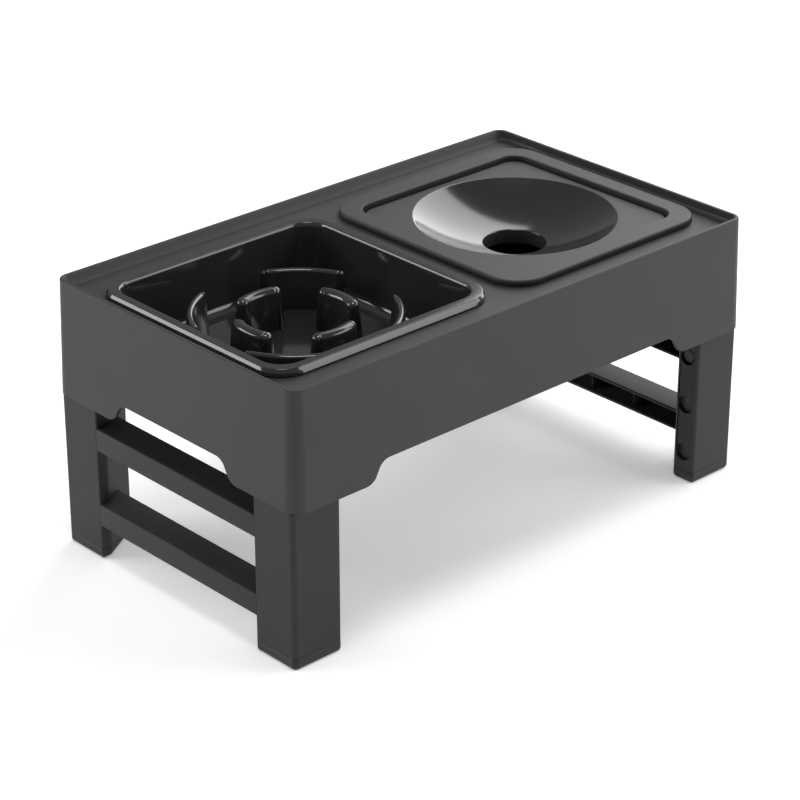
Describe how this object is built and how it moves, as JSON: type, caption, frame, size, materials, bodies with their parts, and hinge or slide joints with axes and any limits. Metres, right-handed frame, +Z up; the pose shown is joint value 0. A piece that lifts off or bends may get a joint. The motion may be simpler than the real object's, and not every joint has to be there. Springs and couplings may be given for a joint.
{
  "type": "elevated dog bowl",
  "caption": "Raised pet feeder: tray on ladder-shaped leg frames with push-button height legs, a lift-out slow feeder bowl with maze ridges and a no-spill water bowl with a floating plate.",
  "frame": {"origin": "on the floor under the middle of the tray", "axes": "+X along the tray towards the water bowl, +Y across it towards the back, +Z up"},
  "size_m": [0.4146, 0.2432, 0.195],
  "materials": {
    "stand_grey": "fine matte moulded polypropylene",
    "bowl_black": "polished moulded polypropylene",
    "foot_rubber": "matte rubber",
    "spring_steel": "plain spring steel"
  },
  "bodies": {
    "tray": {"tray": "stand_grey"},
    "leg_frame_left": {"leg_frame_left": "stand_grey"},
    "leg_frame_right": {"leg_frame_right": "stand_grey"},
    "extension_back_left": {"extension_leg_back_left": "stand_grey", "foot_cap_back_left": "foot_rubber", "button_spring_back_left": "spring_steel"},
    "button_back_left": {"snap_button_back_left": "stand_grey"},
    "extension_front_left": {"extension_leg_front_left": "stand_grey", "foot_cap_front_left": "foot_rubber", "button_spring_front_left": "spring_steel"},
    "button_front_left": {"snap_button_front_left": "stand_grey"},
    "extension_back_right": {"extension_leg_back_right": "stand_grey", "foot_cap_back_right": "foot_rubber", "button_spring_back_right": "spring_steel"},
    "button_back_right": {"snap_button_back_right": "stand_grey"},
    "extension_front_right": {"extension_leg_front_right": "stand_grey", "foot_cap_front_right": "foot_rubber", "button_spring_front_right": "spring_steel"},
    "button_front_right": {"snap_button_front_right": "stand_grey"},
    "slow_feeder_bowl": {"slow_feeder_bowl": "bowl_black"},
    "water_basin": {"water_basin": "stand_grey"},
    "water_cover": {"water_cover": "stand_grey"},
    "float_plate": {"float_plate": "stand_grey"}
  },
  "joints": [
    {"name": "frame_unplug_left", "type": "slide", "parent": "tray", "child": "leg_frame_left", "axis": [0, 0, -1], "range_m": [0, 0.055]},
    {"name": "frame_unplug_right", "type": "slide", "parent": "tray", "child": "leg_frame_right", "axis": [0, 0, -1], "range_m": [0, 0.055]},
    {"name": "leg_slide_back_left", "type": "slide", "parent": "leg_frame_left", "child": "extension_back_left", "axis": [0, 0, -1], "range_m": [0, 0.0748]},
    {"name": "button_press_back_left", "type": "slide", "parent": "extension_back_left", "child": "button_back_left", "axis": [-1, 0, 0], "range_m": [0, 0.0015], "stiffness_N_per_m": 400, "springref_m": -0.004, "deforming": ["button_spring_back_left"]},
    {"name": "leg_slide_front_left", "type": "slide", "parent": "leg_frame_left", "child": "extension_front_left", "axis": [0, 0, -1], "range_m": [0, 0.0748]},
    {"name": "button_press_front_left", "type": "slide", "parent": "extension_front_left", "child": "button_front_left", "axis": [-1, 0, 0], "range_m": [0, 0.0015], "stiffness_N_per_m": 400, "springref_m": -0.004, "deforming": ["button_spring_front_left"]},
    {"name": "leg_slide_back_right", "type": "slide", "parent": "leg_frame_right", "child": "extension_back_right", "axis": [0, 0, -1], "range_m": [0, 0.0748]},
    {"name": "button_press_back_right", "type": "slide", "parent": "extension_back_right", "child": "button_back_right", "axis": [1, 0, 0], "range_m": [0, 0.0015], "stiffness_N_per_m": 400, "springref_m": -0.004, "deforming": ["button_spring_back_right"]},
    {"name": "leg_slide_front_right", "type": "slide", "parent": "leg_frame_right", "child": "extension_front_right", "axis": [0, 0, -1], "range_m": [0, 0.0748]},
    {"name": "button_press_front_right", "type": "slide", "parent": "extension_front_right", "child": "button_front_right", "axis": [1, 0, 0], "range_m": [0, 0.0015], "stiffness_N_per_m": 400, "springref_m": -0.004, "deforming": ["button_spring_front_right"]},
    {"name": "slow_bowl_lift", "type": "slide", "parent": "tray", "child": "slow_feeder_bowl", "axis": [0, 0, 1], "range_m": [0, 0.08]},
    {"name": "water_basin_lift", "type": "slide", "parent": "tray", "child": "water_basin", "axis": [0, 0, 1], "range_m": [0, 0.08]},
    {"name": "water_cover_lift", "type": "slide", "parent": "water_basin", "child": "water_cover", "axis": [0, 0, 1], "range_m": [0, 0.05]},
    {"name": "float_bob", "type": "slide", "parent": "water_basin", "child": "float_plate", "axis": [0, 0, 1], "range_m": [-0.0126, 0], "stiffness_N_per_m": 100, "springref_m": 0.01}
  ]
}
